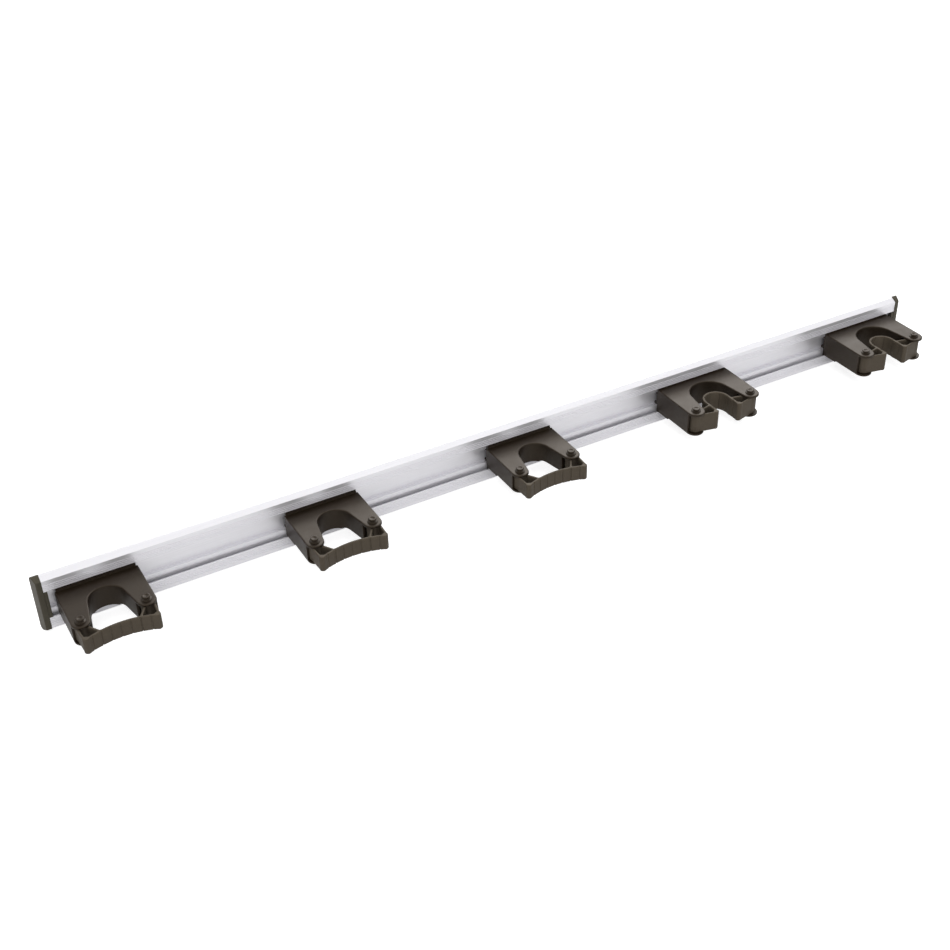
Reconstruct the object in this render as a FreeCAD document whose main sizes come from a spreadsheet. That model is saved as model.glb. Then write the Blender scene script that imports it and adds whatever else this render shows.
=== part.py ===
import FreeCAD, Part
import math
import os
import re

import Sketcher

# A tool grip rail: an aluminium extrusion that is screwed to a wall, with five
# sliding holders. Each holder is a moulded body with a rubber grip between its
# two arms. A handle pushed into the grip snaps the rubber from its open state,
# with the band bowed across the arms, to its closed state, a U round the handle.
#
# Frame, in millimetres: X runs along the rail, +Z is up and +Y points into the
# wall. The origin is the middle of the rail's back, so the wall is at Y = 0.

SIZES = {
    # Rail extrusion
    "rail_length": 900.0,
    "rail_height": 54.0,
    "rail_depth": 10.0,
    "mouth_height": 26.4,
    "lip_thickness": 1.6,
    "slot_depth": 2.8,
    "slot_wall": 4.8,
    "groove_height": 14.2,
    "groove_web": 1.7,
    "back_groove_depth": 4.0,
    "back_rib_height": 18.0,
    "back_foot": 4.8,
    "bevel_height": 3.0,
    "bevel_depth": 5.5,
    "back_corner_radius": 4.0,
    "lip_edge_radius": 0.3,
    "flute_width": 0.9,
    "flute_depth": 0.35,
    "flute_pitch": 1.75,
    "flute_margin": 1.0,
    "flute_count": 4,
    # Screw holes, two pairs
    "screw_hole_diameter": 5.0,
    "outer_hole_inset": 50.0,
    "inner_hole_spacing": 400.0,
    # End caps
    "cap_front_thickness": 4.7,
    "cap_back_thickness": 7.6,
    "cap_overhang": 0.3,
    "cap_wall_gap": 0.6,
    "cap_edge_radius": 0.8,
    "cap_tongue_length": 3.0,
    "cap_peg_length": 13.0,
    "cap_fit": 0.2,
    # What every holder shares
    "slide_fit": 0.25,
    "plate_thickness": 2.0,
    "side_wall": 2.0,
    "body_edge_radius": 1.0,
    "neck_inset": 1.0,
    "slider_inset": 1.6,
    "foot_drop": 1.0,
    "foot_length": 17.0,
    "head_channel_height": 9.6,
    "head_channel_depth": 3.0,
    "pin_diameter": 5.0,
    "pin_fit": 0.05,
    "pin_collar_diameter": 9.2,
    "pin_collar_thickness": 0.6,
    "pin_cap_diameter": 7.2,
    "pin_cap_thickness": 1.1,
    "pin_foot_diameter": 6.4,
    "pin_foot_height": 1.8,
    "grip_fit": 0.1,
    "hub_diameter": 11.5,
    "cell_wall": 2.0,
    "band_thickness": 2.4,
    "rib_groove_diameter": 1.2,
    "rib_groove_depth": 0.55,
    # Small holder
    "small_width": 70.0,
    "small_mouth_gap": 3.75,
    "small_neck_step": 1.5,
    "small_arch_radius": 15.0,
    "small_arch_reach": 26.9,
    "small_tip_radius": 8.0,
    "small_pin_reach": 45.2,
    "small_pin_cap_height": 3.5,
    "small_pocket_reach": 14.0,
    "small_throat_step": 16.1,
    "small_band_step": 15.5,
    "small_bow_rise": 6.9,
    "small_corner_flare": 3.6,
    "small_web_inset": 10.5,
    "small_rib_pitch": 8.1,
    # Large holder
    "large_width": 81.2,
    "large_mouth_gap": 1.55,
    "large_neck_step": 1.3,
    "large_arch_radius": 20.0,
    "large_arch_reach": 28.4,
    "large_tip_radius": 8.6,
    "large_pin_reach": 48.0,
    "large_pin_cap_height": 2.8,
    "large_pocket_reach": 14.0,
    "large_throat_step": 12.2,
    "large_loop_width": 27.4,
    "large_loop_setback": 9.7,
    "large_mouth_step": 9.8,
    "large_web_setback": 4.3,
    "large_rib_pitch": 9.5,
    # Holder places: the outer two from the end caps' tongues, the others from
    # the middle of the rail
    "holder_1_gap": 5.2,
    "holder_2_x": -205.9,
    "holder_3_x": -5.4,
    "holder_4_x": 191.4,
    "holder_5_gap": 5.8,
}

HOLDERS = [
    ("small", "-rail_length / 2 + cap_tongue_length + holder_1_gap + small_width / 2"),
    ("small", "holder_2_x"),
    ("small", "holder_3_x"),
    ("large", "holder_4_x"),
    ("large", "rail_length / 2 - cap_tongue_length - holder_5_gap - large_width / 2"),
]

doc = FreeCAD.newDocument("tool_grip_rail")
sheet = doc.addObject("Spreadsheet::Sheet", "Sizes")
for row, (alias, value) in enumerate(SIZES.items(), start=1):
    sheet.set(f"A{row}", alias)
    sheet.set(f"B{row}", str(value))
    sheet.setAlias(f"B{row}", alias)
doc.recompute()


def bound(expression):
    """Write each size's name in an expression as a cell of the sheet."""
    names = "|".join(sorted(SIZES, key=len, reverse=True))
    return re.sub(rf"\b({names})\b", r"Sizes.\1", str(expression))


def number(expression):
    """The present value of an expression of named sizes."""
    return float(sheet.evalExpression(bound(expression)))


def new_body(label):
    body = doc.addObject("PartDesign::Body", label)
    body.Label = label
    return body


def new_sketch(body, name, role):
    """An empty sketch on one of the body's own origin planes."""
    sketch = body.newObject("Sketcher::SketchObject", f"{body.Name}_{name}")
    plane = [item for item in body.Origin.OriginFeatures if item.Role == role][0]
    sketch.AttachmentSupport = [(plane, "")]
    sketch.MapMode = "FlatFace"
    return sketch


def hold(sketch, kind, *items, value):
    """Add one dimension and bind it to an expression."""
    index = sketch.addConstraint(Sketcher.Constraint(kind, *items, number(value)))
    sketch.setExpression(f"Constraints[{index}]", bound(value))


# The sketcher's own numbers for its axes and for the points of a line or arc.
H_AXIS, V_AXIS = range(-1, -3, -1)
START, END, CENTRE = range(1, 4)
ORIGIN_POINT = (H_AXIS, START)


def hold_point(sketch, item, point, across, up):
    """Fix one point of a sketch by its two coordinates."""
    for kind, axis, value in (("DistanceX", V_AXIS, across), ("DistanceY", H_AXIS, up)):
        if abs(number(value)) < 1e-9:
            sketch.addConstraint(Sketcher.Constraint("PointOnObject", item, point, axis))
        else:
            hold(sketch, kind, *ORIGIN_POINT, item, point, value=value)


def add_line(sketch, first, second):
    points = [FreeCAD.Vector(number(x), number(y), 0) for x, y in (first, second)]
    return sketch.addGeometry(Part.LineSegment(*points), False)


def add_arc(sketch, centre, radius, from_degrees, to_degrees):
    middle = FreeCAD.Vector(number(centre[0]), number(centre[1]), 0)
    circle = Part.Circle(middle, FreeCAD.Vector(0, 0, 1), number(radius))
    angles = [math.radians(from_degrees), math.radians(to_degrees)]
    return sketch.addGeometry(Part.ArcOfCircle(circle, *angles), False)


def join(sketch, kind, *items):
    sketch.addConstraint(Sketcher.Constraint(kind, *items))


def polygon(sketch, corners):
    """A closed outline of straight lines through corners given as expressions."""
    first = sketch.GeometryCount
    count = len(corners)
    for place in range(count):
        add_line(sketch, corners[place], corners[(place + 1) % count])
    for place in range(count):
        following = first + (place + 1) % count
        join(sketch, "Coincident", first + place, END, following, START)
        hold_point(sketch, first + place, START, *corners[place])


def circle(sketch, across, up, diameter):
    middle = FreeCAD.Vector(number(across), number(up), 0)
    radius = number(diameter) / 2
    item = sketch.addGeometry(Part.Circle(middle, FreeCAD.Vector(0, 0, 1), radius), False)
    hold_point(sketch, item, CENTRE, across, up)
    hold(sketch, "Diameter", item, value=diameter)


def feature(body, kind, name, sketch, length, reverse=False, symmetric=True):
    """A Pad or Pocket of a sketch, by a bound length."""
    item = body.newObject(f"PartDesign::{kind}", f"{body.Name}_{name}")
    item.Profile = sketch
    item.SideType = "Symmetric" if symmetric else "One side"
    item.Reversed = reverse
    item.Refine = True
    item.setExpression("Length", bound(length))
    body.Tip = item
    doc.recompute()
    return item


def mirror(body, role):
    """Mirror the body so far in one of its origin planes."""
    item = body.newObject("PartDesign::Mirrored", f"{body.Name}_mirror")
    item.TransformMode = "Whole shape"
    plane = [part for part in body.Origin.OriginFeatures if part.Role == role][0]
    item.MirrorPlane = (plane, [""])
    item.Refine = True
    body.Tip = item
    doc.recompute()
    return item


def fillet(body, name, radius, chosen):
    """Round the edges of the body so far that the test chooses."""
    base = body.Tip
    edges = [f"Edge{i}" for i, edge in enumerate(base.Shape.Edges, start=1) if chosen(edge)]
    item = body.newObject("PartDesign::Fillet", f"{body.Name}_{name}")
    item.Base = (base, edges)
    item.setExpression("Radius", bound(radius))
    body.Tip = item
    doc.recompute()
    return item


def near(value, expression):
    """True for a measured coordinate that is the value of an expression."""
    return abs(value - number(expression)) < 1e-3


def holder_height(kind):
    """Both plates together go into the rail's mouth with a gap on each side."""
    return f"(mouth_height - 2 * {kind}_mouth_gap)"


def pin_place(kind):
    """Plan place of the right pin, in the middle of the arm's round tip."""
    return f"({kind}_width / 2 - {kind}_tip_radius)", f"(-rail_depth - {kind}_pin_reach)"


def runs_along(edge, axis):
    """True for a straight edge along one axis, given as 0, 1 or 2."""
    ends = [vertex.Point for vertex in edge.Vertexes]
    if len(ends) != 2:
        return False
    step = ends[1] - ends[0]
    return abs(step[axis]) > 1e-6 and abs(abs(step[axis]) - step.Length) < 1e-6


def build_rail():
    """The extrusion: the upper half of its section, padded, then mirrored."""
    body = new_body("rail")
    section = new_sketch(body, "section", "YZ_Plane")
    top = "rail_height / 2"
    slot_floor = "-rail_depth + lip_thickness + slot_depth"
    polygon(section, [
        ("0", "0"),
        ("0", "back_rib_height / 2"),
        ("-back_groove_depth", "back_rib_height / 2"),
        ("-back_groove_depth", f"{top} - back_foot"),
        ("0", f"{top} - back_foot"),
        ("0", top),
        ("-rail_depth + bevel_depth", top),
        ("-rail_depth", f"{top} - bevel_height"),
        ("-rail_depth", "mouth_height / 2"),
        ("-rail_depth + lip_thickness", "mouth_height / 2"),
        ("-rail_depth + lip_thickness", f"{top} - slot_wall"),
        (slot_floor, f"{top} - slot_wall"),
        (slot_floor, "groove_height / 2"),
        ("-groove_web", "groove_height / 2"),
        ("-groove_web", "0"),
    ])
    feature(body, "Pad", "half", section, "rail_length")

    # Shallow flutes along the lip face, from the mouth outwards.
    flutes = new_sketch(body, "flute", "YZ_Plane")
    low = "mouth_height / 2 + flute_margin"
    polygon(flutes, [
        ("-rail_depth - flute_depth", low),
        ("-rail_depth + flute_depth", low),
        ("-rail_depth + flute_depth", f"{low} + flute_width"),
        ("-rail_depth - flute_depth", f"{low} + flute_width"),
    ])
    flute = feature(body, "Pocket", "flutes", flutes, "rail_length")
    row = body.newObject("PartDesign::LinearPattern", "rail_flute_row")
    row.Originals = [flute]
    row.Direction = (flutes, ["V_Axis"])
    row.setExpression("Occurrences", bound("flute_count"))
    row.setExpression("Length", bound("flute_pitch * (flute_count - 1)"))
    row.Refine = True
    body.Tip = row
    doc.recompute()
    mirror(body, "XY_Plane")

    # The screw holes go through the thin web in the middle groove.
    holes = new_sketch(body, "screw_holes", "XZ_Plane")
    for across in ("(rail_length / 2 - outer_hole_inset)", "(inner_hole_spacing / 2)"):
        circle(holes, f"-{across}", "0", "screw_hole_diameter")
        circle(holes, across, "0", "screw_hole_diameter")
    feature(body, "Pocket", "screw_hole_cut", holes, "2 * rail_depth")

    def back_corner(edge):
        at = edge.CenterOfMass
        return runs_along(edge, 0) and near(at.y, "0") and near(abs(at.z), "rail_height / 2")

    def lip_edge(edge):
        at = edge.CenterOfMass
        return runs_along(edge, 0) and near(at.y, "-rail_depth") and near(abs(at.z), "mouth_height / 2")

    widest = "min(0.9 * (rail_depth - bevel_depth); 0.9 * back_foot)"
    fillet(body, "back_corners", f"min(back_corner_radius; {widest})", back_corner)
    fillet(body, "lip_edges", "lip_edge_radius", lip_edge)
    return body


def build_cap(label, side):
    """A moulded end cap; side is -1 on the left end and +1 on the right."""
    body = new_body(label)
    end = f"{side} * rail_length / 2"
    over = "cap_overhang"
    half = f"(rail_height / 2 + {over})"
    front = f"(-rail_depth - {over})"

    plate = new_sketch(body, "plate", "XY_Plane")
    polygon(plate, [
        (end, "-cap_wall_gap"),
        (end, front),
        (f"{end} + {side} * cap_front_thickness", front),
        (f"{end} + {side} * cap_back_thickness", "-cap_wall_gap"),
    ])
    feature(body, "Pad", "plate_pad", plate, f"2 * {half}")

    # The front corners follow the bevel of the rail.
    bevel = new_sketch(body, "bevel", "YZ_Plane")
    for sign in (1, -1):
        polygon(bevel, [
            ("-rail_depth + bevel_depth", f"{sign} * {half}"),
            (front, f"{sign} * ({half} - bevel_height)"),
            (front, f"{sign} * ({half} + bevel_height)"),
            ("-rail_depth + bevel_depth", f"{sign} * ({half} + bevel_height)"),
        ])
    feature(body, "Pocket", "bevel_cut", bevel, "rail_length + 4 * cap_back_thickness")

    def back_corner(edge):
        at = edge.CenterOfMass
        return near(at.y, "-cap_wall_gap") and near(abs(at.z), half)

    def outer_rim(edge):
        """Edges of the sloping outer face, except the one on the wall."""
        points = [vertex.Point for vertex in edge.Vertexes]
        back = number("-cap_wall_gap")
        slope = number("cap_back_thickness - cap_front_thickness") / (back - number(front))
        back_x = number("rail_length / 2 + cap_back_thickness")
        spots = points + [edge.CenterOfMass]
        on_face = all(abs(side * spot.x - back_x - slope * (spot.y - back)) < 0.05 for spot in spots)
        return on_face and edge.CenterOfMass.y < back - 0.01

    widest = "0.9 * (rail_depth - bevel_depth - cap_wall_gap)"
    fillet(body, "back_corners", f"min(back_corner_radius; {widest})", back_corner)
    fillet(body, "rim", "cap_edge_radius", outer_rim)

    # A tongue closes the mouth between the lips and stops the last holder.
    tongue = new_sketch(body, "tongue", "XY_Plane")
    tongue_back = "-rail_depth + lip_thickness + slot_depth - cap_fit"
    tongue_end = f"{end} - {side} * cap_tongue_length"
    polygon(tongue, [
        (end, "-rail_depth"),
        (end, tongue_back),
        (tongue_end, tongue_back),
        (tongue_end, "-rail_depth"),
    ])
    feature(body, "Pad", "tongue_pad", tongue, "mouth_height - 2 * cap_fit")

    # Two pegs go into the grooves in the rail's back.
    pegs = new_sketch(body, "pegs", "YZ_Plane")
    pegs.setExpression("AttachmentOffset.Base.z", bound(end))
    low = "(back_rib_height / 2 + cap_fit)"
    high = "(rail_height / 2 - back_foot - cap_fit)"
    for sign in (1, -1):
        polygon(pegs, [
            ("-back_groove_depth + cap_fit", f"{sign} * {low}"),
            ("-back_groove_depth + cap_fit", f"{sign} * {high}"),
            ("-cap_fit", f"{sign} * {high}"),
            ("-cap_fit", f"{sign} * {low}"),
        ])
    feature(body, "Pad", "peg_pads", pegs, "cap_peg_length", reverse=side > 0, symmetric=False)
    return body


def build_holder_body(label, kind):
    """A moulded body: two plates round an open cavity, on a T-shaped slider."""
    body = new_body(label)
    half_width = f"{kind}_width / 2"
    height = holder_height(kind)
    pin_x, pin_y = pin_place(kind)
    arch_y = f"(-rail_depth - {kind}_arch_reach)"
    rear = "(-rail_depth + neck_inset)"

    # Right half of the plan: a side, a tip round the pin, a flare that touches
    # tip and arch, and half of the arch that takes the handle.
    plan = new_sketch(body, "plan", "XY_Plane")
    arch_radius = number(f"{kind}_arch_radius")
    tip_radius = number(f"{kind}_tip_radius")
    across = number(pin_x)
    along = number(arch_y) - number(pin_y)
    apart = math.hypot(across, along)
    lean = math.atan2(across, along) - math.asin((arch_radius + tip_radius) / apart)
    cosine, sine = math.cos(lean), math.sin(lean)
    arch_end = (arch_radius * cosine, number(arch_y) + arch_radius * sine)
    tip_end = (across - tip_radius * cosine, number(pin_y) - tip_radius * sine)
    rear_line = add_line(plan, ("0", rear), (half_width, rear))
    side_line = add_line(plan, (half_width, rear), (half_width, pin_y))
    tip = add_arc(plan, (pin_x, pin_y), tip_radius, math.degrees(lean) - 180, 0)
    flare = add_line(plan, tip_end, arch_end)
    arch = add_arc(plan, ("0", arch_y), arch_radius, math.degrees(lean), 90)
    centre_line = add_line(plan, ("0", f"{arch_y} + {kind}_arch_radius"), ("0", rear))
    join(plan, "Coincident", rear_line, END, side_line, START)
    join(plan, "Tangent", side_line, END, tip, END)
    join(plan, "Tangent", tip, START, flare, START)
    join(plan, "Tangent", flare, END, arch, START)
    join(plan, "Coincident", arch, END, centre_line, START)
    join(plan, "Coincident", centre_line, END, rear_line, START)
    join(plan, "Horizontal", rear_line)
    join(plan, "Vertical", side_line)
    join(plan, "Vertical", centre_line)
    hold_point(plan, rear_line, START, "0", rear)
    hold(plan, "DistanceX", *ORIGIN_POINT, side_line, START, value=half_width)
    hold_point(plan, tip, CENTRE, pin_x, pin_y)
    hold_point(plan, arch, CENTRE, "0", arch_y)
    hold(plan, "Radius", arch, value=f"{kind}_arch_radius")
    feature(body, "Pad", "block", plan, height)

    def plate_rim(edge):
        box = edge.BoundBox
        flat = near(abs(edge.CenterOfMass.z), f"{height} / 2") and box.ZLength < 1e-3
        return flat and box.YMax - number(rear) < 1e-3 and box.YLength > 1e-3 and box.XMax > 1e-3

    fillet(body, "rims", "body_edge_radius", plate_rim)

    # A pocket in the arm between the two plates, cored from the arm's end. It
    # opens to the front past the pin and to the throat past the arch's wall.
    cavity = new_sketch(body, "cavity", "XY_Plane")
    pocket_rear = f"-rail_depth - {kind}_pocket_reach"
    throat_rear = f"{arch_y} - {kind}_throat_step"
    inner_wall = f"{pin_x} - {kind}_tip_radius + side_wall"
    front = f"{pin_y} - {half_width}"
    polygon(cavity, [
        (inner_wall, pocket_rear),
        (f"{half_width} - side_wall", pocket_rear),
        (f"{half_width} - side_wall", pin_y),
        (f"{half_width} + side_wall", pin_y),
        (f"{half_width} + side_wall", front),
        ("0", front),
        ("0", throat_rear),
        (inner_wall, throat_rear),
    ])
    feature(body, "Pocket", "cavity_cut", cavity, f"{height} - 2 * plate_thickness")

    # The underside steps down a little towards the rail.
    step = new_sketch(body, "step", "XZ_Plane")
    step.setExpression("AttachmentOffset.Base.z", bound(f"-{rear}"))
    polygon(step, [
        ("0", f"-{height} / 2 - foot_drop"),
        (half_width, f"-{height} / 2 - foot_drop"),
        (half_width, f"-{height} / 2 + body_edge_radius"),
        ("0", f"-{height} / 2 + body_edge_radius"),
    ])
    feature(body, "Pad", "step_pad", step, "foot_length", symmetric=False)

    # The slider: a neck in the mouth, a flange behind the lips, and a foot in
    # the middle groove with a channel that clears the heads of the screws.
    slider = new_sketch(body, "slider", "YZ_Plane")
    neck = f"min({height} / 2 + {kind}_neck_step; mouth_height / 2 - slide_fit)"
    flange_front = "(-rail_depth + lip_thickness + slide_fit)"
    flange_back = "(-rail_depth + lip_thickness + slot_depth - slide_fit)"
    flange = "(rail_height / 2 - slot_wall - slide_fit)"
    foot = "(groove_height / 2 - slide_fit)"
    foot_back = "(-groove_web - slide_fit)"
    channel = "head_channel_height / 2"
    right_side = [
        (rear, neck),
        (flange_front, neck),
        (flange_front, flange),
        (flange_back, flange),
        (flange_back, foot),
        (foot_back, foot),
        (foot_back, channel),
        (f"{foot_back} - head_channel_depth", channel),
    ]
    lower_side = [(y, f"-{z}") for y, z in reversed(right_side)]
    polygon(slider, right_side + lower_side)
    feature(body, "Pad", "slider_pad", slider, f"{half_width} - slider_inset", symmetric=False)
    mirror(body, "YZ_Plane")

    # The round of the arch goes through the stepped underside too.
    throat = new_sketch(body, "throat", "XY_Plane")
    circle(throat, "0", arch_y, f"2 * {kind}_arch_radius")
    feature(body, "Pocket", "throat_cut", throat, f"2 * {height}")

    holes = new_sketch(body, "pin_holes", "XY_Plane")
    for sign in ("-", ""):
        circle(holes, f"{sign}{pin_x}", pin_y, "pin_diameter + 2 * pin_fit")
    feature(body, "Pocket", "pin_hole_cut", holes, f"2 * {height}")
    return body


def wall_corners(first, second, thickness):
    """Corners of a straight wall of a thickness between two points."""
    (x1, y1), (x2, y2) = first, second
    length = f"sqrt(({x2} - ({x1}))^2 + ({y2} - ({y1}))^2)"
    side_x = f"(({y1}) - ({y2})) / {length} * {thickness} / 2"
    side_y = f"(({x2}) - ({x1})) / {length} * {thickness} / 2"
    return [
        (f"{x1} + {side_x}", f"{y1} + {side_y}"),
        (f"{x2} + {side_x}", f"{y2} + {side_y}"),
        (f"{x2} - {side_x}", f"{y2} - {side_y}"),
        (f"{x1} - {side_x}", f"{y1} - {side_y}"),
    ]


def build_grip(label, kind):
    """A rubber grip: two hubs on the pins, two hollow cells and the band."""
    body = new_body(label)
    height = f"({holder_height(kind)} - 2 * plate_thickness - 2 * grip_fit)"
    hub_x, hub_y = pin_place(kind)

    if kind == "small":
        # Open: the band bows back between two corners in front of the arms.
        band_y = f"({hub_y} - small_band_step)"
        chord = f"({hub_x} + small_corner_flare)"
        web_x = f"({hub_x} - small_web_inset)"
        bow_radius = f"(({chord}^2 + small_bow_rise^2) / (2 * small_bow_rise))"
        bow_y = f"({band_y} - {bow_radius})"
        middle = f"({bow_radius} + band_thickness / 2)"
        corner = (chord, f"{bow_y} + sqrt({middle}^2 - {chord}^2)")
        web = (web_x, f"{bow_y} + sqrt({middle}^2 - {web_x}^2)")
        band = new_sketch(body, "band", "XY_Plane")
        slant = math.degrees(math.acos(number(chord) / number(middle)))
        front_arc = add_arc(band, ("0", bow_y), bow_radius, slant, 90)
        back_arc = add_arc(band, ("0", bow_y), f"{bow_radius} + band_thickness", slant, 90)
        ends = []
        for arc in (front_arc, back_arc):
            spot = band.getPoint(arc, START)
            ends.append((str(spot.x), str(spot.y)))
        middle_line = add_line(band, ("0", band_y), ("0", f"{band_y} + band_thickness"))
        end_line = add_line(band, *ends)
        join(band, "Coincident", middle_line, START, front_arc, END)
        join(band, "Coincident", middle_line, END, back_arc, END)
        join(band, "Coincident", end_line, START, front_arc, START)
        join(band, "Coincident", end_line, END, back_arc, START)
        join(band, "Coincident", front_arc, CENTRE, back_arc, CENTRE)
        hold_point(band, front_arc, CENTRE, "0", bow_y)
        hold(band, "Radius", front_arc, value=bow_radius)
        hold(band, "Radius", back_arc, value=f"{bow_radius} + band_thickness")
        join(band, "Vertical", middle_line)
        join(band, "PointOnObject", middle_line, START, V_AXIS)
        hold(band, "DistanceX", *ORIGIN_POINT, front_arc, START,
             value=f"{chord} * {bow_radius} / {middle}")
        join(band, "PointOnObject", front_arc, CENTRE, end_line)

        def groove_place(count):
            """Centre of a groove, counted outwards from the middle."""
            turn = f"({count} * small_rib_pitch / {bow_radius} * 180 deg / pi)"
            reach = f"({bow_radius} - rib_groove_diameter / 2 + rib_groove_depth)"
            return f"{reach} * sin({turn})", f"{bow_y} + {reach} * cos({turn})"
    else:
        # Closed: the band is pushed in to a U, its legs towards the room.
        loop_radius = "(large_loop_width / 2)"
        loop_y = f"({hub_y} + large_loop_setback)"
        mouth_y = f"({hub_y} - large_mouth_step)"
        inner = f"({loop_radius} - band_thickness)"
        leg_x = f"({loop_radius} - band_thickness / 2)"
        corner = (leg_x, f"{mouth_y} + band_thickness / 2")
        web = (leg_x, f"{hub_y} + large_web_setback")
        band = new_sketch(body, "band", "XY_Plane")
        outer_arc = add_arc(band, ("0", loop_y), loop_radius, 0, 90)
        inner_arc = add_arc(band, ("0", loop_y), inner, 0, 90)
        outer_leg = add_line(band, (loop_radius, loop_y), (loop_radius, corner[1]))
        inner_leg = add_line(band, (inner, loop_y), (inner, corner[1]))
        leg_end = add_line(band, (loop_radius, corner[1]), (inner, corner[1]))
        middle_line = add_line(band, ("0", f"{loop_y} + {inner}"), ("0", f"{loop_y} + {loop_radius}"))
        join(band, "Tangent", outer_arc, START, outer_leg, START)
        join(band, "Tangent", inner_arc, START, inner_leg, START)
        join(band, "Coincident", outer_leg, END, leg_end, START)
        join(band, "Coincident", leg_end, END, inner_leg, END)
        join(band, "Coincident", inner_arc, END, middle_line, START)
        join(band, "Coincident", middle_line, END, outer_arc, END)
        join(band, "Coincident", outer_arc, CENTRE, inner_arc, CENTRE)
        join(band, "Vertical", outer_leg)
        join(band, "Vertical", inner_leg)
        join(band, "Horizontal", leg_end)
        join(band, "Vertical", middle_line)
        join(band, "PointOnObject", middle_line, START, V_AXIS)
        hold_point(band, outer_arc, CENTRE, "0", loop_y)
        hold(band, "Radius", outer_arc, value=loop_radius)
        hold(band, "Radius", inner_arc, value=inner)
        hold(band, "DistanceY", *ORIGIN_POINT, leg_end, START, value=corner[1])

        def groove_place(count):
            """Centre of a groove, counted from the middle round and down a leg."""
            reach = f"({inner} - rib_groove_diameter / 2 + rib_groove_depth)"
            run = f"({count} * large_rib_pitch)"
            past = number(run) - number(inner) * math.pi / 2
            if past > 0:
                return reach, f"{loop_y} - ({run} - {inner} * pi / 2)"
            turn = f"({run} / {inner} * 180 deg / pi)"
            return f"{reach} * sin({turn})", f"{loop_y} + {reach} * cos({turn})"

    feature(body, "Pad", "band_pad", band, height)
    # The outer wall of a cell runs off the side of the hub, the web off its middle.
    span = f"sqrt(({corner[0]} - {hub_x})^2 + ({corner[1]} - ({hub_y}))^2)"
    off = f"(hub_diameter / 2 - cell_wall / 2) / {span}"
    tangent = (
        f"({hub_x} - ({corner[1]} - ({hub_y})) * {off})",
        f"({hub_y} + ({corner[0]} - {hub_x}) * {off})",
    )
    for name, start, point in (("outer_wall", tangent, corner), ("web", (hub_x, hub_y), web)):
        wall = new_sketch(body, name, "XY_Plane")
        polygon(wall, wall_corners(start, point, "cell_wall"))
        feature(body, "Pad", f"{name}_pad", wall, height)
    rounds = (("corner", corner, "band_thickness"), ("hub", (hub_x, hub_y), "hub_diameter"))
    for name, place, diameter in rounds:
        disc = new_sketch(body, name, "XY_Plane")
        circle(disc, *place, diameter)
        feature(body, "Pad", f"{name}_pad", disc, height)
    for count in range(4):
        groove = new_sketch(body, f"groove_{count}", "XY_Plane")
        circle(groove, *groove_place(count), "rib_groove_diameter")
        feature(body, "Pocket", f"groove_cut_{count}", groove, f"2 * {height}")
    bore = new_sketch(body, "bore", "XY_Plane")
    circle(bore, hub_x, hub_y, "pin_diameter + 2 * pin_fit")
    feature(body, "Pocket", "bore_cut", bore, f"2 * {height}")
    mirror(body, "YZ_Plane")
    return body


def build_pin(label, kind):
    """A moulded pin: a mushroom cap, a collar, a shaft and a snap foot."""
    body = new_body(label)
    top = f"{holder_height(kind)} / 2"
    profile = new_sketch(body, "profile", "XZ_Plane")
    shaft = "pin_diameter / 2"
    polygon(profile, [
        ("0", f"-{top} - pin_foot_height"),
        ("pin_foot_diameter / 2", f"-{top} - pin_foot_height"),
        ("pin_foot_diameter / 2", f"-{top}"),
        (shaft, f"-{top}"),
        (shaft, top),
        ("pin_collar_diameter / 2", top),
        ("pin_collar_diameter / 2", f"{top} + pin_collar_thickness"),
        (shaft, f"{top} + pin_collar_thickness"),
        (shaft, f"{top} + {kind}_pin_cap_height - pin_cap_thickness"),
        ("pin_cap_diameter / 2", f"{top} + {kind}_pin_cap_height - pin_cap_thickness"),
        ("pin_cap_diameter / 2", f"{top} + {kind}_pin_cap_height"),
        ("0", f"{top} + {kind}_pin_cap_height"),
    ])
    turned = body.newObject("PartDesign::Revolution", f"{label}_turned")
    turned.Profile = profile
    turned.ReferenceAxis = (profile, ["V_Axis"])
    turned.Angle = 360
    body.Tip = turned
    doc.recompute()

    def rim(edge):
        """The outer circles of the two ends of the pin."""
        at = edge.CenterOfMass
        wide = edge.Curve.TypeId == "Part::GeomCircle" and not near(edge.Curve.Radius, shaft)
        head = near(at.z, f"{top} + {kind}_pin_cap_height")
        return wide and (head or near(at.z, f"-{top} - pin_foot_height"))

    fillet(body, "rims", "pin_cap_thickness * 0.6", rim)
    return body


rail = build_rail()
caps = [build_cap("end_cap_left", -1), build_cap("end_cap_right", 1)]
pieces = [rail] + caps
for number_along, (kind, holder_x) in enumerate(HOLDERS, start=1):
    pin_x, pin_y = pin_place(kind)
    movers = [
        build_holder_body(f"holder_body_{number_along}", kind),
        build_grip(f"grip_{number_along}", kind),
    ]
    for mover in movers:
        mover.setExpression("Placement.Base.x", bound(holder_x))
    for name, sign in (("left", "-"), ("right", "+")):
        pin = build_pin(f"grip_pin_{number_along}_{name}", kind)
        pin.setExpression("Placement.Base.x", bound(f"{holder_x} {sign} {pin_x}"))
        pin.setExpression("Placement.Base.y", bound(pin_y))
        movers.append(pin)
    pieces += movers
doc.recompute()

for item in doc.Objects:
    failed = [word for word in item.State if word in ("Invalid", "Error")]
    if failed:
        raise RuntimeError(f"{item.Name} is {failed}")
for piece in pieces:
    if piece.Shape.isNull() or not piece.Shape.isValid() or len(piece.Shape.Solids) != 1:
        raise RuntimeError(f"{piece.Label} is not one valid solid")

os.makedirs("parts", exist_ok=True)
for piece in pieces:
    piece.Shape.exportStep(f"parts/{piece.Label}.step")
    box = piece.Shape.BoundBox
    print(f"{piece.Label}: {piece.Shape.Volume:.0f} mm3, X {box.XMin:.2f} to {box.XMax:.2f}, "
          f"Y {box.YMin:.2f} to {box.YMax:.2f}, Z {box.ZMin:.2f} to {box.ZMax:.2f}")
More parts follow.
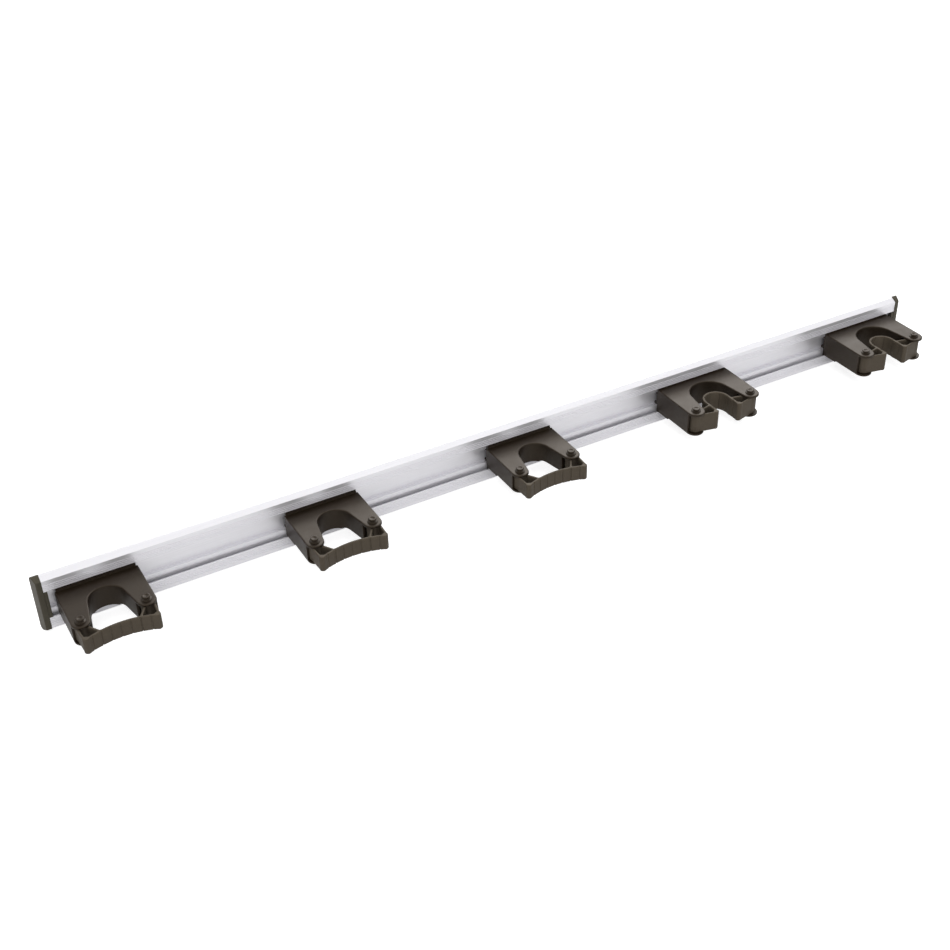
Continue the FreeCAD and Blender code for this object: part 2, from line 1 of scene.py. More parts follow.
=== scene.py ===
# %% [markdown]
# # A tool grip rail
#
# The object is an aluminium rail that is fixed to a wall. Five black holders slide along
# it, and each one carries a rubber grip between two arms: a broom handle pushed into the
# grip is held by it. The frame that this lesson starts from is the finished CAD model, so
# every piece already has its true place and size. What is left is how it looks: the
# surfaces, the soft rubber shapes, the light and the camera.
#
# The scene is in metres, and the outlines of the small pieces are worked out in
# millimetres. X runs along the rail, Z is up and Y points into the wall.

# %% Load the frame
import math

import bmesh
import bpy
import numpy as np
from mathutils import Matrix, Vector


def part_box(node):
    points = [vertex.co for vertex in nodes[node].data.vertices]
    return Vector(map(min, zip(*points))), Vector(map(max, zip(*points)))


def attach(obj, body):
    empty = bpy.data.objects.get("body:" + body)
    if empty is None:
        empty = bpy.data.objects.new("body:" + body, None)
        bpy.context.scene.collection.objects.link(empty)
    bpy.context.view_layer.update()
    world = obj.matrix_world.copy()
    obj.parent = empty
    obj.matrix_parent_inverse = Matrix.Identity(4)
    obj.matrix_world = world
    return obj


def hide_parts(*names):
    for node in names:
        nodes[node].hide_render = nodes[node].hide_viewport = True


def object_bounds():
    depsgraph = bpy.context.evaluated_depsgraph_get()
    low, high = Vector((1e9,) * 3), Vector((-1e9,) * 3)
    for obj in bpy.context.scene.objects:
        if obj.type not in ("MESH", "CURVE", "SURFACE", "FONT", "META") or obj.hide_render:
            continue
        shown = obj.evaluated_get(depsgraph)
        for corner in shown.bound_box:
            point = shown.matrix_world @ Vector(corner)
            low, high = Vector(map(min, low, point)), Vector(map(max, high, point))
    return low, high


MM = 0.001
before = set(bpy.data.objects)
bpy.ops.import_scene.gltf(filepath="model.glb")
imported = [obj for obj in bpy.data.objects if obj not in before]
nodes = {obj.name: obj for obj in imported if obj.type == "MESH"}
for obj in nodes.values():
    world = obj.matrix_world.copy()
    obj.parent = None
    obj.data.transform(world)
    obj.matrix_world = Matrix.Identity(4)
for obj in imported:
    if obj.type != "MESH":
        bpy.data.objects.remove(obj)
cad_low, cad_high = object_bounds()
scene = bpy.context.scene
print("CAD nodes:", len(nodes), "size in mm:", [round(v / MM, 1) for v in cad_high - cad_low])

# %% [markdown]
# ## Colours and nodes
#
# Colours are picked the way a designer reads them off a chart, as sRGB hex. A shader wants
# linear light, so one function turns one into the other. A second small function adds a
# node, sets what it is given and makes its links. Every material below is written with
# those two.

# %% Helpers for materials
def colour(hex_code):
    """A linear RGBA colour from an sRGB hex code such as #4A4843."""
    parts = [int(hex_code[i:i + 2], 16) / 255 for i in (1, 3, 5)]
    return [v / 12.92 if v <= 0.04045 else ((v + 0.055) / 1.055) ** 2.4 for v in parts] + [1.0]


def node(tree, kind, inputs=None, **settings):
    """Add a node. Inputs take a value, or a socket of another node to link from."""
    made = tree.nodes.new(kind)
    for name, value in settings.items():
        setattr(made, name, value)
    for name, value in (inputs or {}).items():
        if isinstance(value, bpy.types.NodeSocket):
            tree.links.new(value, made.inputs[name])
        else:
            made.inputs[name].default_value = value
    return made


def new_material(name):
    """An empty node material, with its tree."""
    material = bpy.data.materials.new(name)
    material.use_nodes = True
    material.node_tree.nodes.clear()
    return material, material.node_tree


WHITE = colour("#FFFFFF")
print("white as a colour:", WHITE)

# %% [markdown]
# ## Anodised aluminium
#
# The rail is pushed through a steel die, which leaves faint lines along its length, and
# then anodised, which turns the bare metal into a pale satin skin. To the eye that is a
# nearly white metal whose reflections are blurred. It could be drawn with an image of
# brushed metal, but noise that is stretched 200 times along X gives the same streaks
# without one. The real lines are about 0.1 mm apart; 0.45 mm is as fine as shows. The
# oxide skin also scatters a part of the light, so the metal is not a full mirror: seven
# tenths of it shine like metal and the rest like pale paint. Wide bands, hardly visible,
# are a little more or less satin than the rest, as on any long extrusion.

# %% Anodised aluminium, extruded
LINE_SPACING = 0.45 * MM
STRETCH = 200.0
BAND_LENGTH = 667 * MM
BAND_WIDTH = 11.1 * MM

anodised_aluminium, tree = new_material("anodised_aluminium_extruded")
fine = 1 / LINE_SPACING
place = node(tree, "ShaderNodeTexCoord").outputs["Object"]
along_rail = node(tree, "ShaderNodeMapping", {"Vector": place, "Scale": (fine / STRETCH, fine, fine)})
streaks = node(tree, "ShaderNodeTexNoise", {
    "Vector": along_rail.outputs["Vector"], "Scale": 1.0, "Detail": 3.0, "Roughness": 0.6,
})
skin_tone = node(tree, "ShaderNodeMix", {
    0: streaks.outputs["Fac"], 6: colour("#E5E4E8"), 7: colour("#F3F2F6"),
}, data_type="RGBA")
in_bands = node(tree, "ShaderNodeMapping", {
    "Vector": place, "Scale": (1 / BAND_LENGTH, 1 / BAND_WIDTH, 1 / BAND_WIDTH),
})
bands = node(tree, "ShaderNodeTexNoise", {"Vector": in_bands.outputs["Vector"], "Scale": 1.0, "Detail": 2.0})
satin = node(tree, "ShaderNodeMapRange", {
    "Value": bands.outputs["Fac"], "From Min": 0.3, "From Max": 0.7, "To Min": 0.32, "To Max": 0.37,
})
round_x = node(tree, "ShaderNodeTangent", direction_type="RADIAL", axis="X")
die_lines = node(tree, "ShaderNodeBump", {
    "Height": streaks.outputs["Fac"], "Strength": 0.10, "Distance": 0.05 * MM,
})
skin = node(tree, "ShaderNodeBsdfPrincipled", {
    "Base Color": skin_tone.outputs[2], "Metallic": 0.7, "Roughness": satin.outputs["Result"],
    "Anisotropic": 0.25, "Tangent": round_x.outputs["Tangent"], "Normal": die_lines.outputs["Normal"],
})
node(tree, "ShaderNodeOutputMaterial", {"Surface": skin.outputs["BSDF"]})
print("material:", anodised_aluminium.name)

# %% [markdown]
# ## Black polyamide
#
# The holders and the pins are moulded in black polyamide. The mould is spark eroded, so the
# plastic comes out with a fine pebble grain: the surface is matte, yet at a low angle it
# still throws back a broad grey sheen. The base colour is a warm near-black, and most of
# the grey in the picture is that sheen. The grain is about 0.1 mm on the real part and is
# drawn at 0.35 mm, as fine as can show. Every moulded edge has a small round, which catches
# the light as a thin pale line; the Bevel node bends the shading there, and leaves the mesh
# as it is. All three plastics of the object are made this way, so one function serves them.

# %% Black polyamide, moulded in a spark-eroded mould
FLOW_SIZE = 14 * MM
GRAIN_DEPTH = 0.04 * MM
GRAIN_STRENGTH = 0.25
UNEVEN = 0.04


def moulded_plastic(name, dark, light, roughness, grain, gloss, edge):
    """A grained plastic: two tones, a roughness, the sizes of its grain and of its edges."""
    material, tree = new_material(name)
    place = node(tree, "ShaderNodeTexCoord").outputs["Object"]
    flow = node(tree, "ShaderNodeTexNoise", {"Vector": place, "Scale": 1 / FLOW_SIZE, "Detail": 3.0})
    pebbles = node(tree, "ShaderNodeTexNoise", {
        "Vector": place, "Scale": 1 / grain, "Detail": 2.0, "Roughness": 0.7,
    })
    tone = node(tree, "ShaderNodeMix", {
        0: flow.outputs["Fac"], 6: colour(dark), 7: colour(light),
    }, data_type="RGBA")
    matte = node(tree, "ShaderNodeMapRange", {
        "Value": flow.outputs["Fac"], "From Min": 0.3, "From Max": 0.7,
        "To Min": roughness - UNEVEN, "To Max": roughness + UNEVEN,
    })
    rounded = node(tree, "ShaderNodeBevel", {"Radius": edge}, samples=6)
    relief = node(tree, "ShaderNodeBump", {
        "Height": pebbles.outputs["Fac"], "Strength": GRAIN_STRENGTH, "Distance": GRAIN_DEPTH,
        "Normal": rounded.outputs["Normal"],
    })
    skin = node(tree, "ShaderNodeBsdfPrincipled", {
        "Base Color": tone.outputs[2], "Metallic": 0.0, "Roughness": matte.outputs["Result"], "IOR": 1.53,
        "Specular IOR Level": gloss, "Specular Tint": colour("#FFEDD9"), "Normal": relief.outputs["Normal"],
    })
    node(tree, "ShaderNodeOutputMaterial", {"Surface": skin.outputs["BSDF"]})
    print("material:", name)
    return material


black_polyamide = moulded_plastic(
    "black_polyamide_moulded", "#150F09", "#211A12",
    roughness=0.42, grain=0.35 * MM, gloss=0.36, edge=0.9 * MM)

# %% [markdown]
# ## Black polyethylene
#
# The two end caps are moulded in polyethylene. It is waxy: a little greyer than polyamide,
# with a softer reflection, which shows when the caps lie beside the holders.

# %% Black polyethylene, moulded
cap_polyethylene = moulded_plastic(
    "black_polyethylene_moulded", "#302F27", "#403D34",
    roughness=0.45, grain=0.5 * MM, gloss=0.4, edge=0.7 * MM)

# %% [markdown]
# ## Grip rubber
#
# The grips are moulded in a soft thermoplastic rubber. It is a little lighter and browner
# than the plastic, has no clear reflection at all, and its skin shows faint dull patches
# where the rubber flowed. A high roughness and a coarser, softer relief give that.

# %% Thermoplastic rubber, moulded
rubber = moulded_plastic(
    "thermoplastic_rubber_moulded", "#39332A", "#474037",
    roughness=0.6, grain=0.6 * MM, gloss=0.4, edge=0.3 * MM)

# %% [markdown]
# ## Two kinds of holder
#
# Three holders are small and two are large. The new grips and pins have to sit just where
# the CAD ones do, so the places of the hubs and all heights are measured on the frame and
# not typed in again. A hub is the ring of rubber that a pin goes through. Its place is
# given in plan, with x counted from the middle of its holder. Heights count from the middle
# of the holder's thickness, and a pin's foot stands out a little below the lower plate.

# %% Sizes of each kind, in millimetres
KINDS = {1: "small", 2: "small", 3: "small", 4: "large", 5: "large"}
FOOT_DEPTH = 1.8


def middle_of(node_name):
    low_corner, high_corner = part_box(node_name)
    return (low_corner + high_corner) / 2


def in_mm(length):
    """A length in millimetres, to a micron."""
    return round(length / MM, 3)


def measured(number):
    """What a new grip and its pins need to know about one holder."""
    grip = f"grip_{number}"
    pin = f"grip_pin_{number}_right"
    grip_low, grip_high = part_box(grip)
    pin_low, pin_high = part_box(pin)
    return {
        "hub": (in_mm(middle_of(pin).x - middle_of(grip).x), in_mm(middle_of(pin).y)),
        "grip_height": in_mm(grip_high.z - grip_low.z),
        "plate": in_mm(-pin_low.z - FOOT_DEPTH * MM),
        "head": in_mm(pin_high.z),
    }


sizes = {"small": measured(1), "large": measured(4)}
for kind, found in sizes.items():
    print(kind, "holder:", found)

# %% [markdown]
# ## The grips
#
# A grip is one rubber moulding with the same outline over its whole height: a ribbed band,
# two hubs on the pins, and two walls from each hub to the band. The CAD solid has crisp
# edges, but moulded rubber has none: walls flow into each other and every rim is round. One
# could bevel the CAD mesh, but its many small triangles make a ragged bevel. So the outline
# is drawn again as a distance field, a formula that says for each point in plan how far it
# is from the rubber. In such a field two walls can be joined with a smooth minimum.

# %% Distances in plan, in millimetres
JOIN = 1.3


def smooth_min(first, second):
    """The nearer of two distances, with a fillet where they are about equal."""
    blend = np.clip(JOIN - abs(first - second), 0, None) / JOIN
    return np.minimum(first, second) - blend ** 2 * JOIN / 4


def to_segment(x, y, start, end):
    """Distance to a straight line between two points."""
    run = (end[0] - start[0], end[1] - start[1])
    along = ((x - start[0]) * run[0] + (y - start[1]) * run[1]) / (run[0] ** 2 + run[1] ** 2)
    along = np.clip(along, 0, 1)
    return np.hypot(x - start[0] - along * run[0], y - start[1] - along * run[1])


def to_arc(x, y, centre, radius, end):
    """Distance to an arc that is symmetric about x = 0 and ends at a point."""
    limit = math.atan2(end[0], end[1] - centre[1])
    turn = np.arctan2(x, y - centre[1])
    to_end = np.hypot(x - end[0], y - end[1])
    return np.where(turn <= limit, abs(np.hypot(x, y - centre[1]) - radius), to_end)


print("from a point to a wall 2 mm away:", float(to_segment(1.0, 2.0, (0, 0), (4, 0))), "mm")

# %% [markdown]
# ## One outline for both grips
#
# In the three small holders the grip stands ready for a tool: its band bows across the
# front of the arms. In the two large ones the band has been pushed through and now makes a
# U, which is how it holds a handle. Both shapes have the same parts. The outer wall leaves
# the hub along its side and runs to the elbow, a thick round corner where it meets the
# band. A thin web joins hub and band further in, which leaves an open cell between wall,
# web and band. The grooves on the band's front are what a handle is gripped by.

# %% Outline of a grip, in millimetres
HUB_RADIUS = 5.75
BORE_RADIUS = 2.5
ELBOW_RADIUS = 2.4
WALL = 2.0
BAND = 2.4
GROOVE_RADIUS = 0.6
GROOVE_DEPTH = 0.5
GROOVES_A_SIDE = 4


def grip_field(x, y, band_line, hub, elbow, web, grooves):
    """Distance field of the right half, and by abs(x) of the left one."""
    reach = math.hypot(elbow[0] - hub[0], elbow[1] - hub[1])
    across = ((hub[1] - elbow[1]) / reach, (elbow[0] - hub[0]) / reach)
    wall_ends = [(spot[0] + across[0] * (radius - WALL / 2), spot[1] + across[1] * (radius - WALL / 2))
                 for spot, radius in ((hub, HUB_RADIUS), (elbow, ELBOW_RADIUS))]
    solid = band_line - BAND / 2
    solid = smooth_min(solid, to_segment(x, y, *wall_ends) - WALL / 2)
    solid = smooth_min(solid, to_segment(x, y, hub, web) - WALL / 2)
    solid = smooth_min(solid, np.hypot(x - elbow[0], y - elbow[1]) - ELBOW_RADIUS)
    solid = smooth_min(solid, np.hypot(x - hub[0], y - hub[1]) - HUB_RADIUS)
    solid = np.maximum(solid, BORE_RADIUS - np.hypot(x - hub[0], y - hub[1]))
    for spot in grooves:
        solid = np.maximum(solid, GROOVE_RADIUS - np.hypot(x - spot[0], y - spot[1]))
    return solid


print("walls:", WALL, "mm, band:", BAND, "mm, grooves:", 2 * GROOVES_A_SIDE - 1)

# %% [markdown]
# ## The open grip
#
# The band is an arc that bows towards the rail. Its radius follows from its half width and
# its rise, as for any arch. The elbow sits a little inside the band's corner, so that the
# corner comes out round and thick, and the arc stops short of it, inside the elbow.

# %% Open grip, in millimetres
CORNER_FLARE = 3.6
BAND_STEP = 15.5
BOW_RISE = 6.9
BOW_TRIM = 2.0
WEB_INSET = 10.5
OPEN_GROOVE_PITCH = 8.1
OPEN_ELBOW_SHIFT = (-1.4, 2.0)


def open_grip(hub):
    corner_x = hub[0] + CORNER_FLARE
    inner = (corner_x ** 2 + BOW_RISE ** 2) / (2 * BOW_RISE)
    bow_y = hub[1] - BAND_STEP - inner
    middle = inner + BAND / 2

    def on_bow(at_x):
        return at_x, bow_y + math.sqrt(middle ** 2 - at_x ** 2)

    reach = inner - GROOVE_RADIUS + GROOVE_DEPTH
    turns = [count * OPEN_GROOVE_PITCH / inner for count in range(GROOVES_A_SIDE)]
    grooves = [(reach * math.sin(turn), bow_y + reach * math.cos(turn)) for turn in turns]
    corner = on_bow(corner_x)
    elbow = (corner[0] + OPEN_ELBOW_SHIFT[0], corner[1] + OPEN_ELBOW_SHIFT[1])
    print("open grip: bow radius", round(inner, 1), "mm")

    def field(x, y):
        line = to_arc(x, y, (0, bow_y), middle, on_bow(corner_x - BOW_TRIM))
        return grip_field(x, y, line, hub, elbow, on_bow(hub[0] - WEB_INSET), grooves)
    return field


# %% [markdown]
# ## The closed grip
#
# Pushed in, the band is half a circle with two straight legs towards the room. The grooves
# keep their pitch along the band, so the ones near the middle sit on the half circle and
# the others on the legs.

# %% Closed grip, in millimetres
LOOP_WIDTH = 27.4
LOOP_SETBACK = 9.7
MOUTH_STEP = 9.8
WEB_SETBACK = 4.3
CLOSED_GROOVE_PITCH = 9.5


def closed_grip(hub):
    leg_x = (LOOP_WIDTH - BAND) / 2
    loop_y = hub[1] + LOOP_SETBACK
    mouth_y = hub[1] - MOUTH_STEP
    inner = leg_x - BAND / 2
    reach = inner - GROOVE_RADIUS + GROOVE_DEPTH
    grooves = []
    for count in range(GROOVES_A_SIDE):
        run = count * CLOSED_GROOVE_PITCH
        past = run - inner * math.pi / 2
        turn = run / inner
        grooves.append((reach, loop_y - past) if past > 0
                       else (reach * math.sin(turn), loop_y + reach * math.cos(turn)))
    elbow = (leg_x - BAND / 2 + ELBOW_RADIUS, mouth_y + ELBOW_RADIUS)
    print("closed grip: opening", round(2 * inner, 1), "mm")

    def field(x, y):
        arc = abs(np.hypot(x, y - loop_y) - leg_x)
        leg = to_segment(x, y, (leg_x, loop_y), (leg_x, elbow[1]))
        line = np.where(y > loop_y, arc, leg)
        return grip_field(x, y, line, hub, elbow, (leg_x, hub[1] + WEB_SETBACK), grooves)
    return field


fields = {"small": open_grip(sizes["small"]["hub"]), "large": closed_grip(sizes["large"]["hub"])}

# %% [markdown]
# ## From the field to a line
#
# The rubber's outline is where the field is zero. Marching squares finds it: the plan is
# cut into small squares, and where the field changes sign along a square's sides, the
# outline enters by one side and leaves by another. Those steps are then chained into closed
# loops, one for the outside and one for each hole.

# %% Loops where a field is zero
def zero_loops(field, xs, ys):
    """Closed loops of points where the field is zero, by marching squares."""
    inside = field < 0
    mixed = inside[:-1, :-1].astype(int) + inside[1:, :-1] + inside[1:, 1:] + inside[:-1, 1:]
    follow = {}
    for i, j in zip(*np.nonzero((mixed > 0) & (mixed < 4))):
        ring = [(i, j), (i + 1, j), (i + 1, j + 1), (i, j + 1)]
        sides = [(ring[k], ring[(k + 1) % 4]) for k in range(4)]
        leaving = [k for k, (a, b) in enumerate(sides) if inside[a] and not inside[b]]
        for k in leaving:
            step = next(n for n in range(1, 4) if inside[sides[(k + n) % 4][1]])
            follow[frozenset(sides[k])] = frozenset(sides[(k + step) % 4])
    loops = []
    while follow:
        first, key = follow.popitem()
        loop = [first]
        while key != first:
            loop.append(key)
            key = follow.pop(key)
        points = []
        for a, b in (sorted(edge) for edge in loop):
            share = field[a] / (field[a] - field[b])
            points.append((xs[a[0]] + share * (xs[b[0]] - xs[a[0]]),
                           ys[a[1]] + share * (ys[b[1]] - ys[a[1]])))
        loops.append(points)
    return loops


def grip_loops(field):
    """The loops of a whole grip. No point of the shifted grid lies just on an outline."""
    half_width, front, rear, grid = 44.0, -80.0, -30.0, 0.25
    shift = grid / 7
    xs = np.arange(-half_width, half_width + grid, grid) + shift
    ys = np.arange(front, rear, grid) + shift
    x, y = np.meshgrid(abs(xs), ys, indexing="ij")
    return zero_loops(field(x, y), xs, ys)


loops = {kind: grip_loops(field) for kind, field in fields.items()}
print("loops:", {kind: len(found) for kind, found in loops.items()})

# %% [markdown]
# ## From the line to a moulding
#
# A 2D curve does the solid work: `extrude` gives the height, `bevel_depth` the round rim
# and a negative `offset` keeps the outline where it was. The result is turned into a mesh
# once and welded, so that all grips of a kind share clean geometry.

# %% Grip meshes
EDGE_RADIUS = 0.85
RIM_STEPS = 2
FILL_TURN = 0.37
WELD = 0.002 * MM
LEVEL = 0.99


def grip_mesh(name, loops, height):
    curve = bpy.data.curves.new(name, "CURVE")
    curve.dimensions = "2D"
    curve.fill_mode = "BOTH"
    curve.extrude = (height / 2 - EDGE_RADIUS) * MM
    curve.bevel_depth = EDGE_RADIUS * MM
    curve.bevel_resolution = RIM_STEPS
    curve.offset = -EDGE_RADIUS * MM
    # The two cells lie level with each other, which can make the fill miss one of
    # them, so the outline is filled a little turned, and turned back as a mesh.
    turn = Matrix.Rotation(FILL_TURN, 4, "Z")
    for loop in loops:
        spline = curve.splines.new("POLY")
        spline.points.add(len(loop) - 1)
        spline.use_cyclic_u = True
        for point, (px, py) in zip(spline.points, loop):
            point.co = (*(turn @ Vector((px * MM, py * MM, 0))), 1)
    maker = bpy.data.objects.new(name, curve)
    scene.collection.objects.link(maker)
    bpy.context.view_layer.update()
    mesh = bpy.data.meshes.new_from_object(maker.evaluated_get(bpy.context.evaluated_depsgraph_get()))
    bpy.data.objects.remove(maker)
    mesh.transform(turn.inverted())
    made = bmesh.new()
    made.from_mesh(mesh)
    bmesh.ops.remove_doubles(made, verts=made.verts, dist=WELD)
    bmesh.ops.recalc_face_normals(made, faces=made.faces)
    for face in made.faces:
        face.smooth = abs(face.normal.z) < LEVEL
    loose = sum(1 for edge in made.edges if len(edge.link_faces) != 2)
    made.to_mesh(mesh)
    made.free()
    mesh.name = name
    mesh.materials.clear()
    mesh.materials.append(rubber)
    print(name, "faces:", len(mesh.polygons), "open edges:", loose)
    return mesh


grip_meshes = {
    "small": grip_mesh("grip_open", loops["small"], sizes["small"]["grip_height"]),
    "large": grip_mesh("grip_closed", loops["large"], sizes["large"]["grip_height"]),
}

# %% [markdown]
# ## The pins
#
# Each arm's end has a moulded pin that the grip turns on: a snap foot below, a shank
# through both plates, a flat collar on the upper one, a short neck and a button head. All
# of it is round, so a profile turned about the vertical axis makes it, as on a lathe.

# %% Half section of a pin, in millimetres
SHANK_RADIUS = 2.5
CLEAR = 0.01


def pin_profile(plate, head):
    """Radii and heights from foot to head; plate is the height of the top plate's face."""
    foot = [(0, -plate - FOOT_DEPTH), (2.3, -plate - FOOT_DEPTH), (2.9, -plate - 1.5),
            (3.2, -plate - 0.9), (3.2, -plate - CLEAR)]
    shank = [(SHANK_RADIUS, -plate - CLEAR), (SHANK_RADIUS, plate + CLEAR)]
    collar = [(4.4, plate + CLEAR), (4.6, plate + 0.2), (4.5, plate + 0.5), (4.2, plate + 0.6)]
    neck = [(SHANK_RADIUS, plate + 0.65), (SHANK_RADIUS, head - 1.1)]
    button = [(3.4, head - 1.1), (3.6, head - 0.8), (3.6, head - 0.45), (3.4, head - 0.15),
              (3.0, head), (1.9, head), (1.5, head - 0.35), (0, head - 0.4)]
    return foot + shank + collar + neck + button


profiles = {kind: pin_profile(found["plate"], found["head"]) for kind, found in sizes.items()}
print("points in a pin's profile:", {kind: len(profile) for kind, profile in profiles.items()})

# %% [markdown]
# ## Turning a profile
#
# Each point of the profile becomes a ring of corners, and neighbouring rings are joined
# with faces. A point on the axis is a ring of one corner, so its faces are triangles.

# %% Turned pins
TURN_STEPS = 40


def turned(name, profile, material):
    """A closed solid of revolution from (radius, height) points in millimetres."""
    made = bmesh.new()
    angles = [2 * math.pi * step / TURN_STEPS for step in range(TURN_STEPS)]
    rings = []
    for radius, height in profile:
        if radius == 0:
            rings.append([made.verts.new((0, 0, height * MM))] * TURN_STEPS)
            continue
        rings.append([made.verts.new((radius * math.cos(a) * MM, radius * math.sin(a) * MM, height * MM))
                      for a in angles])
    for low_ring, high_ring in zip(rings, rings[1:]):
        for step in range(TURN_STEPS):
            following = (step + 1) % TURN_STEPS
            corners = [low_ring[step], low_ring[following], high_ring[following], high_ring[step]]
            made.faces.new(list(dict.fromkeys(corners)))
    for face in made.faces:
        face.smooth = True
    bmesh.ops.recalc_face_normals(made, faces=made.faces)
    mesh = bpy.data.meshes.new(name)
    made.to_mesh(mesh)
    made.free()
    mesh.materials.append(material)
    print(name, "faces:", len(mesh.polygons))
    return mesh


pin_meshes = {kind: turned(f"pin_{kind}", profile, black_polyamide)
              for kind, profile in profiles.items()}

# %% [markdown]
# ## Put the pieces in their holders
#
# Each new piece takes its place from the CAD node that it stands for and rides on the same
# body; the node itself is hidden.

# %% Place grips and pins
def stand_in(name, mesh, place, node_name, body):
    piece = bpy.data.objects.new(name, mesh)
    piece.location = place
    scene.collection.objects.link(piece)
    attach(piece, body)
    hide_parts(node_name)


for number, kind in KINDS.items():
    body = f"holder_{number}"
    grip_place = (middle_of(f"grip_{number}").x, 0, 0)
    stand_in(f"rubber_grip_{number}", grip_meshes[kind], grip_place, f"grip_{number}", body)
    for side in ("left", "right"):
        node_name = f"grip_pin_{number}_{side}"
        middle = middle_of(node_name)
        stand_in(f"pin_{number}_{side}", pin_meshes[kind], (middle.x, middle.y, 0), node_name, body)
print("stand-ins placed for holders:", len(KINDS))

# %% [markdown]
# ## Dress the frame
#
# The rail, the end caps and the holder bodies keep their CAD meshes. Each one gets a
# material by its name, so that nothing is left in a default grey.

# %% Give every CAD node its material
DRESS = (
    ("rail", anodised_aluminium),
    ("end_cap", cap_polyethylene),
    ("holder_body", black_polyamide),
    ("grip_pin", black_polyamide),
    ("grip", rubber),
)
for name, piece in nodes.items():
    material = next(finish for start, finish in DRESS if name.startswith(start))
    piece.data.materials.clear()
    piece.data.materials.append(material)
print("dressed:", len(nodes))

# %% [markdown]
# ## The floor
#
# The rail stands on its lower long edge on a sheet of white paper. Paper that is lit by
# lamps alone comes out uneven, or it takes so much light that the object is washed out. So
# the sheet is a plain grey that catches shadows, and it glows a little for rays that come
# from the camera, which lifts it to white. It glows less for rays that come from a shiny
# surface, since the metal should mirror a white sheet and not a lamp.

# %% Floor
FLOOR_HALF_WIDTH = 12.0
GLOW_SEEN = 0.80
GLOW_MIRRORED = 0.30

floor_mesh = bmesh.new()
bmesh.ops.create_grid(floor_mesh, x_segments=1, y_segments=1, size=FLOOR_HALF_WIDTH)
floor_data = bpy.data.meshes.new("floor")
floor_mesh.to_mesh(floor_data)
floor_mesh.free()
floor = bpy.data.objects.new("floor", floor_data)
floor.location.z = cad_low.z
scene.collection.objects.link(floor)

paper, tree = new_material("floor_white_paper")
rays = node(tree, "ShaderNodeLightPath")
mirrored = node(tree, "ShaderNodeMath", {
    0: rays.outputs["Is Glossy Ray"], 1: GLOW_MIRRORED,
}, operation="MULTIPLY")
lift = node(tree, "ShaderNodeMath", {
    0: rays.outputs["Is Camera Ray"], 1: GLOW_SEEN, 2: mirrored.outputs[0],
}, operation="MULTIPLY_ADD")
glow = node(tree, "ShaderNodeEmission", {"Color": WHITE, "Strength": lift.outputs[0]})
matt = node(tree, "ShaderNodeBsdfDiffuse", {"Color": colour("#C8C8C8")})
both = node(tree, "ShaderNodeAddShader", {0: matt.outputs[0], 1: glow.outputs[0]})
node(tree, "ShaderNodeOutputMaterial", {"Surface": both.outputs[0]})
floor_data.materials.append(paper)
print("floor at z in mm:", round(cad_low.z / MM, 1))

# %% [markdown]
# ## The room
#
# Everything round the rail is white. The camera sees the room at full white. As a light it
# is kept low, because light from everywhere takes the form out of an object. What metal
# and plastic mirror of it lies between: a step below white keeps the pale top edge of the
# rail apart from the background.

# %% Room
ROOM_LIGHT = 0.30
ROOM_MIRRORED = 0.88
ROOM_SEEN = 1.0

world = bpy.data.worlds.new("white_room")
scene.world = world
world.use_nodes = True
tree = world.node_tree
tree.nodes.clear()
rays = node(tree, "ShaderNodeLightPath")
mirrored = node(tree, "ShaderNodeMath", {
    0: rays.outputs["Is Glossy Ray"], 1: ROOM_MIRRORED - ROOM_LIGHT, 2: ROOM_LIGHT,
}, operation="MULTIPLY_ADD")
strength = node(tree, "ShaderNodeMath", {
    0: rays.outputs["Is Camera Ray"], 1: ROOM_SEEN - ROOM_LIGHT, 2: mirrored.outputs[0],
}, operation="MULTIPLY_ADD")
room = node(tree, "ShaderNodeBackground", {"Color": WHITE, "Strength": strength.outputs[0]})
node(tree, "ShaderNodeOutputWorld", {"Surface": room.outputs[0]})
print("room strength seen, mirrored, as light:", ROOM_SEEN, ROOM_MIRRORED, ROOM_LIGHT)

# %% [markdown]
# ## The lamps
#
# Black plastic is shaped by what it mirrors, so the lamp that matters most is a large round
# softbox behind and to the right of the rail. The tops of the holders mirror it towards the
# camera, brightest in the middle of the row. Two very wide suns, one from above and one
# from the front, light the rubber and the floor. They are switched off for mirrored rays,
# or their bright discs would burn out the pale metal.

# %% Lamps
SUN_WIDTH = math.radians(60)


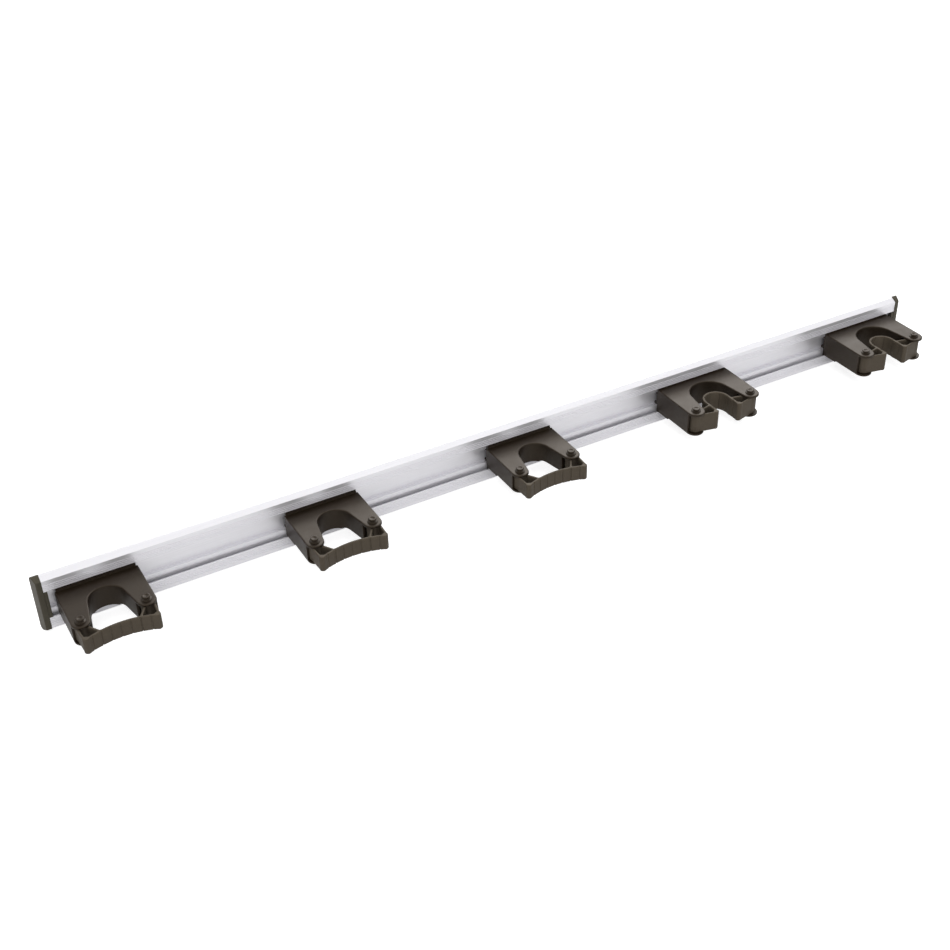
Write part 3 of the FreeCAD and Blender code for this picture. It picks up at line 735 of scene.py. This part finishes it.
def lamp(name, kind, place, target, strength, mirrored, **settings):
    data = bpy.data.lights.new(name, kind)
    data.energy = strength
    for key, value in settings.items():
        setattr(data, key, value)
    made = bpy.data.objects.new(name, data)
    made.location = place
    made.rotation_mode = "QUATERNION"
    made.rotation_quaternion = (Vector(target) - Vector(place)).to_track_quat("-Z", "Y")
    made.visible_glossy = mirrored
    scene.collection.objects.link(made)
    print("lamp:", name)


lamp("overhead_bank", "SUN", (-0.3, -0.2, 1.7), (0, 0, 0), 1.5, False, angle=SUN_WIDTH)
lamp("front_fill", "SUN", (-0.5, -1.5, 0.8), (0, 0, 0), 1.2, False, angle=SUN_WIDTH)
lamp("rear_softbox", "AREA", (1.42, 1.8, 1.8), (0.1, 0, 0), 50.0, True, shape="DISK", size=2.5)

# %% [markdown]
# ## The camera
#
# The photograph was taken from the left and from above, with a lens a little longer than
# normal. The straight edges of the rail gave the place, the angles and the lens.

# %% Camera
CAMERA_PLACE = Vector((-0.568, -0.963, 0.737))
AZIMUTH, ELEVATION, ROLL = (math.radians(v) for v in (28.35, 34.75, -1.63))
LENS = 54.23
SENSOR_WIDTH = 36.0
NEAREST, FARTHEST = 0.05, 50.0

forward = Vector((math.sin(AZIMUTH) * math.cos(ELEVATION), math.cos(AZIMUTH) * math.cos(ELEVATION),
                  -math.sin(ELEVATION)))
level = Vector((math.cos(AZIMUTH), -math.sin(AZIMUTH), 0))
upward = level.cross(forward)
right = math.cos(ROLL) * level + math.sin(ROLL) * upward
up = math.cos(ROLL) * upward - math.sin(ROLL) * level
camera_data = bpy.data.cameras.new("camera")
camera_data.lens = LENS
camera_data.sensor_width = SENSOR_WIDTH
camera_data.clip_start = NEAREST
camera_data.clip_end = FARTHEST
camera = bpy.data.objects.new("camera", camera_data)
camera.matrix_world = Matrix.Translation(CAMERA_PLACE) @ Matrix((right, up, -forward)).transposed().to_4x4()
scene.collection.objects.link(camera)
scene.camera = camera
scene.view_settings.view_transform = "Standard"
print("camera", round(CAMERA_PLACE.length, 2), "m from the middle of the rail, lens", LENS, "mm")
